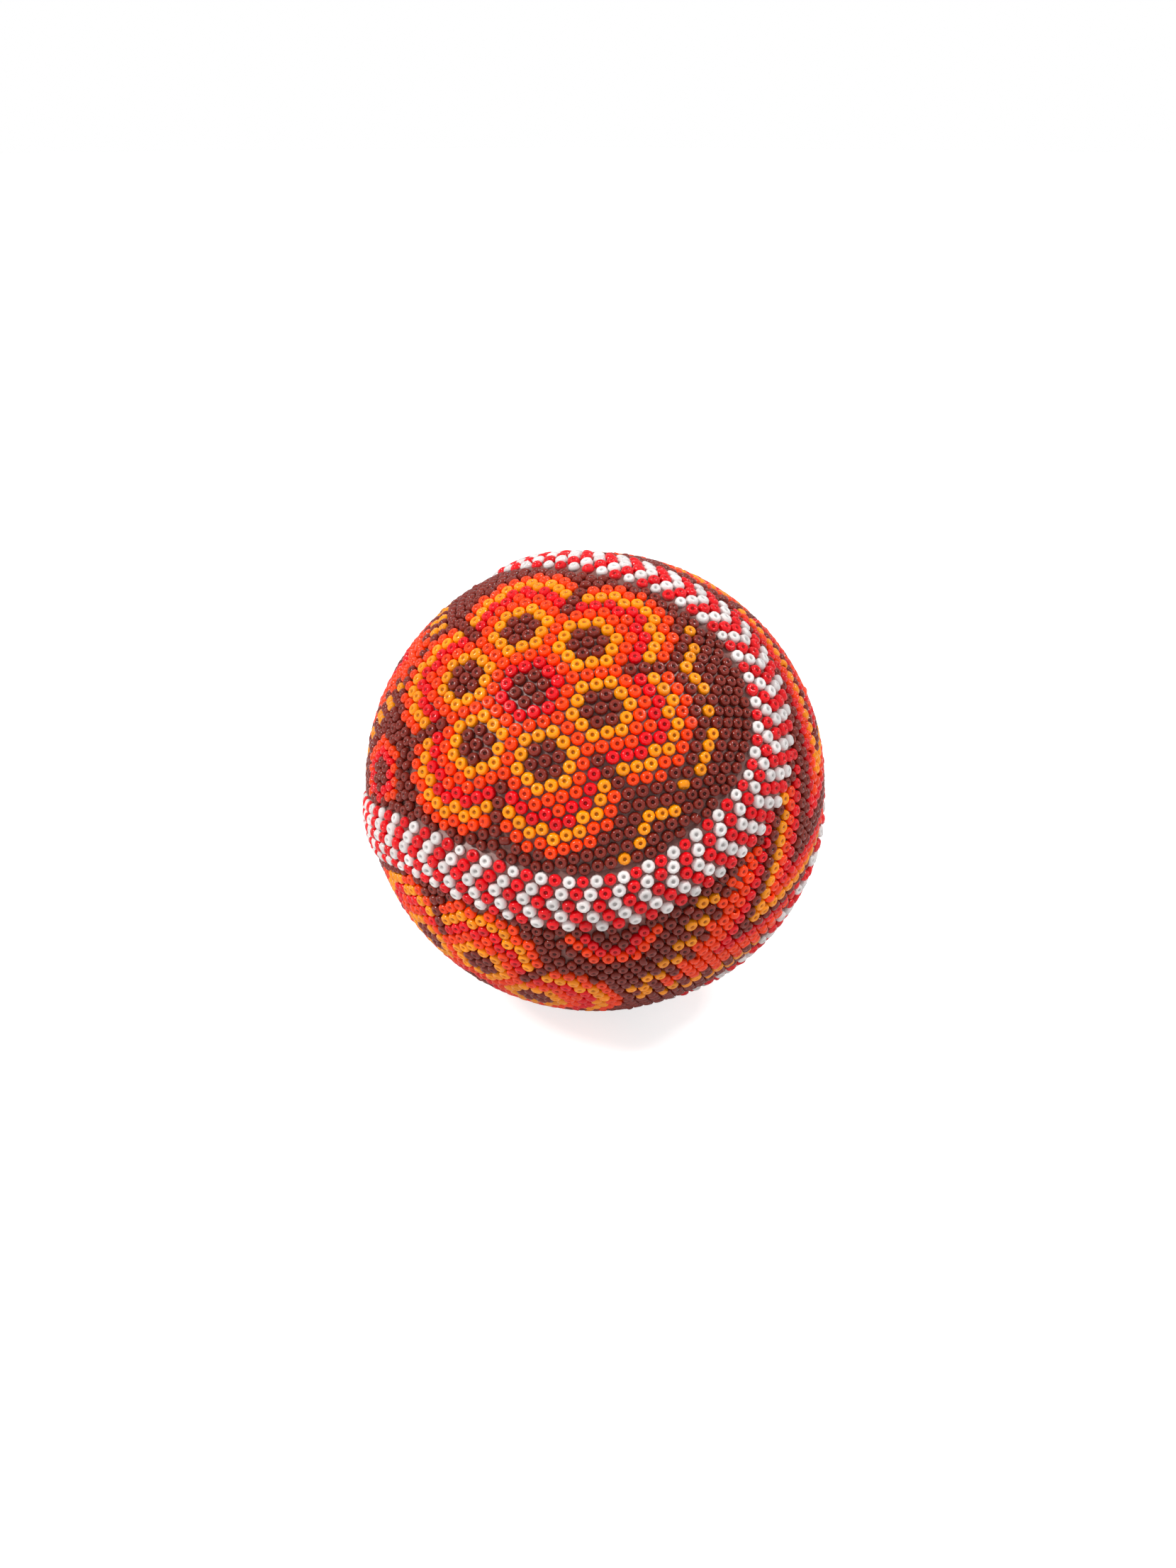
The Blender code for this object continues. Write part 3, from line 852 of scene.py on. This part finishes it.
@lru_cache(maxsize=None)
def wax_film_group():
    """Wax that creeps up the sides of what is pressed into it."""
    tree, given, result = new_group(
        "wax_film",
        [
            ("Colour", COLOUR, (0.5, 0.1, 0.1, 1.0)),
            ("Wax Colour", COLOUR, (0.4, 0.3, 0.3, 1.0)),
            ("Height", FLOAT, 1.0),
            ("Creep", FLOAT, 0.3),
        ],
        [("Colour", COLOUR), ("Film", FLOAT)],
    )
    link = tree.links.new
    place = node(tree, "ShaderNodeTexCoord")
    ragged = node(tree, "ShaderNodeTexNoise", Scale=900.0, Detail=3.0)
    link(place.outputs["Object"], ragged.inputs["Vector"])
    share = node(tree, "ShaderNodeMath", operation="DIVIDE")
    link(given.outputs["Height"], share.inputs[0])
    link(given.outputs["Creep"], share.inputs[1])
    edge = node(tree, "ShaderNodeMath", operation="SUBTRACT")
    link(ragged.outputs["Fac"], edge.inputs[0])
    link(share.outputs["Value"], edge.inputs[1])
    film = node(
        tree, "ShaderNodeMapRange", interpolation_type="SMOOTHSTEP", To_Max=THICKEST_FILM
    )
    link(edge.outputs["Value"], film.inputs["Value"])
    mix = blended(
        tree, film.outputs["Result"], given.outputs["Colour"], given.outputs["Wax Colour"]
    )
    link(mix, result.inputs["Colour"])
    link(film.outputs["Result"], result.inputs["Film"])
    return tree


def place_group(tree, group, **values):
    """Places a group, with its inputs set to the values of the same names."""
    made = tree.nodes.new("ShaderNodeGroup")
    made.node_tree = group
    for name, value in values.items():
        made.inputs[name.replace("_", " ")].default_value = opaque(value)
    return made


def bump(tree, shader, height, strength, distance):
    made = node(tree, "ShaderNodeBump", Strength=strength, Distance=distance)
    tree.links.new(height, made.inputs["Height"])
    tree.links.new(made.outputs["Normal"], shader.inputs["Normal"])


@lru_cache(maxsize=None)
def bead_glass(colour):
    """Opaque glass: each bead's tone differs a little, with wax round its foot and painted shade
    in its hole.
    """
    settings = bpy.context.scene.beaded_ball
    base = Vector(getattr(settings, f"{colour}_glass"))
    made, tree, shader = new_material(f"{colour}_bead_glass")
    link = tree.links.new
    tone, hole, height = (
        node(tree, "ShaderNodeAttribute", attribute_name=name).outputs["Fac"]
        for name in ("tone", "hole", "above_wax")
    )
    spread = node(tree, "ShaderNodeMapRange", From_Min=-TONE_LIMIT, From_Max=TONE_LIMIT)
    link(tone, spread.inputs["Value"])
    dark, pale = (base * share for share in TONE_SHADES)
    shade = blended(tree, spread.outputs["Result"], dark, pale)
    # Painted shade: darker inside the hole, where the glass lies in shade
    hole_painted_shade = blended(tree, hole, shade, base * HOLE_PAINTED_SHADE[colour])
    film = place_group(tree, wax_film_group(), Wax_Colour=settings.wax_and_gap_shade_colour, Creep=FILM_CREEP)
    link(height, film.inputs["Height"])
    link(hole_painted_shade, film.inputs["Colour"])
    link(film.outputs["Colour"], shader.inputs["Base Color"])
    rough = node(tree, "ShaderNodeMapRange", To_Min=GLASS_ROUGHNESS, To_Max=FILM_ROUGHNESS)
    link(film.outputs["Film"], rough.inputs["Value"])
    link(rough.outputs["Result"], shader.inputs["Roughness"])
    skin = place_group(tree, grain_group(), Scale=700.0, Detail=2.0)
    bump(tree, shader, skin.outputs["Height"], strength=0.15, distance=0.02 * MM)
    shader.inputs["Specular IOR Level"].default_value = 0.4
    return made


@lru_cache(maxsize=None)
def beeswax():
    """Wax mixed with resin, pressed flat between the beads, pinkish grey, and darkened as painted
    shade in the gaps between the beads.
    """
    settings = bpy.context.scene.beaded_ball
    made, tree, shader = new_material("beeswax")
    dark, pale = (Vector(settings.wax_and_gap_shade_colour) * share for share in WAX_SHADES)
    fine = place_group(
        tree, grain_group(), Colour=dark, Second_Colour=pale, Scale=450.0, Detail=5.0
    )
    tree.links.new(fine.outputs["Colour"], shader.inputs["Base Color"])
    shader.inputs["Roughness"].default_value = 0.42
    shader.inputs["Subsurface Weight"].default_value = 0.2
    shader.inputs["Subsurface Radius"].default_value = (1.0, 0.5, 0.4)
    shader.inputs["Subsurface Scale"].default_value = 0.6 * MM
    bump(tree, shader, fine.outputs["Height"], strength=0.6, distance=0.15 * MM)
    return made


def simple_finish(name, group, roughness, strength, distance, **values):
    """A finish whose colour and relief both come from one group, set with the values."""
    made, tree, shader = new_material(name)
    placed = place_group(tree, group, **values)
    tree.links.new(placed.outputs["Colour"], shader.inputs["Base Color"])
    shader.inputs["Roughness"].default_value = roughness
    bump(tree, shader, placed.outputs["Height"], strength, distance)
    return made


# --- Wax ---


def sheet(cells, place, outer):
    """A curved sheet of wax on the ball, laid out by place(u, v), with its top at outer(v)."""
    bm = bmesh.new()
    bmesh.ops.create_grid(bm, x_segments=cells[0], y_segments=cells[1], size=1.0)
    for vertex in bm.verts:
        u = (vertex.co.x + 1) / 2
        v = (vertex.co.y + 1) / 2
        spot = place(u, v)
        ripple = noise.noise(spot * WAX_RIPPLE_SCALE) * WAX_RIPPLE
        vertex.co = spot * (outer(v) + ripple)
    bmesh.ops.remove_doubles(bm, verts=bm.verts, dist=TINY)
    made = bmesh.ops.extrude_face_region(bm, geom=bm.faces[:])
    for item in made["geom"]:
        if isinstance(item, bmesh.types.BMVert):
            item.co = item.co.normalized() * PANEL_WAX_INNER
    bmesh.ops.remove_doubles(bm, verts=bm.verts, dist=TINY)
    bmesh.ops.transform(bm, matrix=BALL, verts=bm.verts)
    bmesh.ops.recalc_face_normals(bm, faces=bm.faces)
    mesh = bpy.data.meshes.new("wax")
    bm.to_mesh(mesh)
    bm.free()
    mesh.shade_smooth()
    mesh.set_sharp_from_angle(angle=SHARP_EDGE)
    mesh.materials.append(beeswax())
    return mesh


# --- Operators ---


class BEADBALL_OT_inside(Operator):
    """Gives the core, the yarn, the covers and the thread their finishes"""

    bl_idname = "beadball.inside"
    bl_label = "Core, yarn and covers"

    def execute(self, context):
        grain, strands = grain_group(), strand_group()
        finishes = {
            "cork": simple_finish(
                "composition_cork", grain, 0.85, 0.6, 0.3 * MM, Colour=(0.32, 0.17, 0.08),
                Second_Colour=(0.62, 0.42, 0.24), Scale=900.0, Detail=6.0,
            ),
            "black_rubber": simple_finish(
                "black_moulded_rubber", grain, 0.55, 0.2, 0.1 * MM,
                Colour=(0.012, 0.012, 0.013), Second_Colour=(0.035, 0.034, 0.033),
                Scale=600.0, Detail=3.0,
            ),
            "red_rubber": simple_finish(
                "red_moulded_rubber", grain, 0.55, 0.2, 0.1 * MM, Colour=(0.32, 0.035, 0.03),
                Second_Colour=(0.46, 0.07, 0.05), Scale=600.0, Detail=3.0,
            ),
            "wool_winding": simple_finish(
                "wool_yarn", strands, 0.95, 0.8, 0.6 * MM, Colour=(0.60, 0.57, 0.52),
                Groove_Colour=(0.22, 0.20, 0.18), Scale=260.0, Wander=3.0,
            ),
            "fine_yarn": simple_finish(
                "fine_yarn", strands, 0.9, 0.8, 0.3 * MM, Colour=(0.82, 0.79, 0.72),
                Groove_Colour=(0.40, 0.37, 0.32), Scale=620.0, Wander=2.0,
            ),
            "leather_cover": simple_finish(
                "cover_leather", grain, 0.5, 0.35, 0.15 * MM, Colour=(0.78, 0.74, 0.66),
                Second_Colour=(0.90, 0.87, 0.81), Scale=1400.0, Detail=5.0,
            ),
            "seam_thread": simple_finish(
                "waxed_thread", strands, 0.6, 0.7, 0.1 * MM, Colour=(0.62, 0.03, 0.03),
                Groove_Colour=(0.25, 0.01, 0.01), Scale=2400.0, Wander=0.5,
            ),
        }
        finishes["pill_gasket"] = finishes["red_rubber"]
        for name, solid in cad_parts.items():
            found = [finish for start, finish in finishes.items() if name.startswith(start)]
            if found:
                solid.data.materials.clear()
                solid.data.materials.append(found[0])
        return {"FINISHED"}


class BEADBALL_OT_wax(Operator):
    """Spreads the wax over the two covers and, higher, along the seam"""

    bl_idname = "beadball.wax"
    bl_label = "Beeswax"

    def execute(self, context):
        for cover in COVERS:

            def place(u, v, cover=cover):
                return between(*rung_ends(cover, u * SEAM_PERIOD / 2, BAND_HALF + PIECE_GAP), v)

            mesh = sheet(PANEL_CELLS, place, lambda v: PANEL_WAX_TOP)
            add_piece(f"wax_over_cover_{cover}", mesh, f"wax_panel_{cover}", slot="beeswax")

        def along(u, v):
            return beside_seam(u * SEAM_PERIOD, (2 * v - 1) * (BAND_HALF + PIECE_GAP))

        def ridge(v):
            shoulder = min(1.0, (1 - abs(2 * v - 1)) / BAND_SHOULDER)
            return PANEL_WAX_TOP + (BAND_WAX_TOP - PANEL_WAX_TOP) * sin(shoulder * pi / 2)

        mesh = sheet(BAND_CELLS, along, ridge)
        add_piece("wax_along_seam", mesh, "wax_band", slot="beeswax")
        return {"FINISHED"}


class BEADBALL_OT_band(Operator):
    """Lays the chevron band of white and red beads along the seam"""

    bl_idname = "beadball.band"
    bl_label = "Chevron band"

    def execute(self, context):
        add_bead_pieces(["band_beads"], "band_bead_glass")
        return {"FINISHED"}


class BEADBALL_OT_flowers(Operator):
    """Lays the four six-petalled flowers"""

    bl_idname = "beadball.flowers"
    bl_label = "Flowers"

    def execute(self, context):
        for name in LOBES:
            petals = [f"flower_{name}_petal_{number + 1}" for number in range(PETALS)]
            add_bead_pieces([f"flower_{name}_heart"], "heart_bead_glass")
            add_bead_pieces(petals, "petal_bead_glass")
        return {"FINISHED"}


class BEADBALL_OT_fields(Operator):
    """Lays the background beads of the lobes and the necks"""

    bl_idname = "beadball.fields"
    bl_label = "Background and necks"

    def execute(self, context):
        nodes = [f"lobe_{name}_field" for name in LOBES] + [f"neck_{c}_field" for c in COVERS]
        add_bead_pieces(nodes, "field_bead_glass")
        return {"FINISHED"}


# --- Studio ---


def add_floor(settings):
    bm = bmesh.new()
    bmesh.ops.create_circle(bm, cap_ends=True, segments=64, radius=FLOOR_RADIUS)
    mesh = bpy.data.meshes.new("studio_floor")
    bm.to_mesh(mesh)
    bm.free()
    finish, tree, shader = new_material("pale_floor")
    shade = place_group(
        tree, grain_group(), Colour=settings.floor_colour,
        Second_Colour=Vector(settings.floor_colour) * FLOOR_MOTTLE, Scale=20.0,
    )
    tree.links.new(shade.outputs["Colour"], shader.inputs["Base Color"])
    shader.inputs["Roughness"].default_value = 0.8
    shader.inputs["Emission Color"].default_value = (*WHITE, 1.0)
    seen_directly(tree, 0.0, settings.floor_glow, shader.inputs["Emission Strength"])
    mesh.materials.append(finish)
    made = bpy.data.objects.new("studio_floor", mesh)
    bpy.context.scene.collection.objects.link(made)


def seen_directly(tree, lit, seen, socket):
    """Gives a socket one value for the light that it casts and another for the camera."""
    path = node(tree, "ShaderNodeLightPath")
    share = node(tree, "ShaderNodeMapRange", To_Min=lit, To_Max=seen)
    tree.links.new(path.outputs["Is Camera Ray"], share.inputs["Value"])
    tree.links.new(share.outputs["Result"], socket)


def light_room(scene, settings):
    scene.world = scene.world or bpy.data.worlds.new("studio")
    scene.world.use_nodes = True
    tree = scene.world.node_tree
    sky = tree.nodes["Background"]
    sky.inputs["Color"].default_value = (*WHITE, 1.0)
    seen_directly(tree, settings.room_light, 1.0, sky.inputs["Strength"])
    for name, (place, size, share, colour) in WINDOWS.items():
        light = bpy.data.lights.new(name, "AREA")
        light.shape = "RECTANGLE"
        light.size, light.size_y = size
        light.energy = settings.window_power * share
        light.color = colour
        made = bpy.data.objects.new(name, light)
        made.location = place
        made.rotation_euler = (BALL_CENTRE - Vector(place)).to_track_quat("-Z", "Y").to_euler()
        scene.collection.objects.link(made)


def add_camera(scene):
    camera = bpy.data.cameras.new("camera")
    camera.sensor_fit = "HORIZONTAL"
    camera.sensor_width = CAMERA_SENSOR
    camera.lens = CAMERA_LENS
    camera.shift_x, camera.shift_y = CAMERA_SHIFT
    made = bpy.data.objects.new("camera", camera)
    direction = Vector((0.0, -cos(CAMERA_RISE), sin(CAMERA_RISE)))
    made.location = BALL_CENTRE + direction * CAMERA_AWAY
    made.rotation_euler = (pi / 2 - CAMERA_RISE, 0.0, 0.0)
    scene.collection.objects.link(made)
    scene.camera = made


class BEADBALL_OT_studio(Operator):
    """Sets the ball on a plain pale floor in soft light, with a camera"""

    bl_idname = "beadball.studio"
    bl_label = "Studio"

    def execute(self, context):
        add_floor(context.scene.beaded_ball)
        light_room(context.scene, context.scene.beaded_ball)
        add_camera(context.scene)
        context.scene.view_settings.view_transform = "Standard"
        return {"FINISHED"}


# --- Settings and panel ---


def tint(name, description, default):
    return FloatVectorProperty(
        name=name, description=description, subtype="COLOR", size=3, min=0.0, max=1.0,
        default=default,
    )


def glass(name, default):
    return tint(name, f"Colour of the {name.lower()} beads", default)


def length(name, description, default):
    return FloatProperty(
        name=name, description=description, unit="LENGTH", subtype="DISTANCE", precision=5,
        default=default,
    )


class BeadedBallSettings(PropertyGroup):
    """Sizes and colours that a maker would change"""

    bead_pitch: length("Bead pitch", "From one bead to the next in a flower", 2.303 * MM)
    closest: length("Closest beads", "Two patches of beads come no nearer than this", 1.92 * MM)
    band_room: length(
        "Room beside the band", "From the band's edge to a panel bead's middle", 0.45 * MM
    )
    band_rows: IntProperty(
        name="Band rows", description="Rows of beads in the band", default=5, min=1
    )
    band_beads: IntProperty(
        name="Beads in a row", description="Beads in each row; an even number closes the band",
        default=182, min=2,
    )
    band_row_spacing: length("Row spacing", "From one row of the band to the next", 2.0 * MM)
    chevron_start: length(
        "Chevron start", "From the first lobe's tip to the first white point", 0.4 * MM
    )
    bead_tilt: FloatProperty(
        name="Bead tilt", description="How far the beads lean, as a spread", default=radians(7),
        unit="ROTATION", subtype="ANGLE",
    )
    seed: IntProperty(name="Seed", description="Which hand laid the beads", default=11)
    brown_glass: glass("Brown", (0.22, 0.022, 0.013))
    yellow_glass: glass("Yellow", (1.0, 0.31, 0.0))
    orange_glass: glass("Orange", (1.0, 0.050, 0.0))
    red_glass: glass("Red", (0.82, 0.002, 0.008))
    white_glass: glass("White", (0.80, 0.76, 0.75))
    # Partly the wax's own colour and partly painted shade: taken darker for the shade in the gaps
    # between the beads
    wax_and_gap_shade_colour: tint("Wax", "Colour of the beeswax", (0.25, 0.105, 0.09))
    floor_colour: tint("Floor", "Colour of the studio floor", (0.7, 0.7, 0.7))
    floor_glow: FloatProperty(
        name="Floor glow", description="How far the floor is washed out to white", default=0.72
    )
    room_light: FloatProperty(name="Room light", description="Light from all round", default=0.58)
    window_power: FloatProperty(
        name="Window light", description="Power of the larger soft light", default=3.2,
        unit="POWER",
    )


class BEADBALL_PT_panel(Panel):
    """Lists the settings and the steps in the order that they are run"""

    bl_idname = "BEADBALL_PT_panel"
    bl_label = "Beaded ball"
    bl_space_type = "VIEW_3D"
    bl_region_type = "UI"
    bl_category = "Beaded ball"

    def draw(self, context):
        settings = context.scene.beaded_ball
        for name in BeadedBallSettings.__annotations__:
            self.layout.prop(settings, name)
        for step in STEPS:
            self.layout.operator(step.bl_idname)


STEPS = (
    BEADBALL_OT_inside,
    BEADBALL_OT_wax,
    BEADBALL_OT_band,
    BEADBALL_OT_flowers,
    BEADBALL_OT_fields,
    BEADBALL_OT_studio,
)
CLASSES = (BeadedBallSettings, *STEPS, BEADBALL_PT_panel)


def register():
    for made in CLASSES:
        bpy.utils.register_class(made)
    bpy.types.Scene.beaded_ball = PointerProperty(type=BeadedBallSettings)


def unregister():
    del bpy.types.Scene.beaded_ball
    for made in reversed(CLASSES):
        bpy.utils.unregister_class(made)


def main():
    register()
    bpy.ops.beadball.inside()
    bpy.ops.beadball.wax()
    bpy.ops.beadball.band()
    bpy.ops.beadball.flowers()
    bpy.ops.beadball.fields()
    bpy.ops.beadball.studio()


if __name__ == "__main__":
    main()
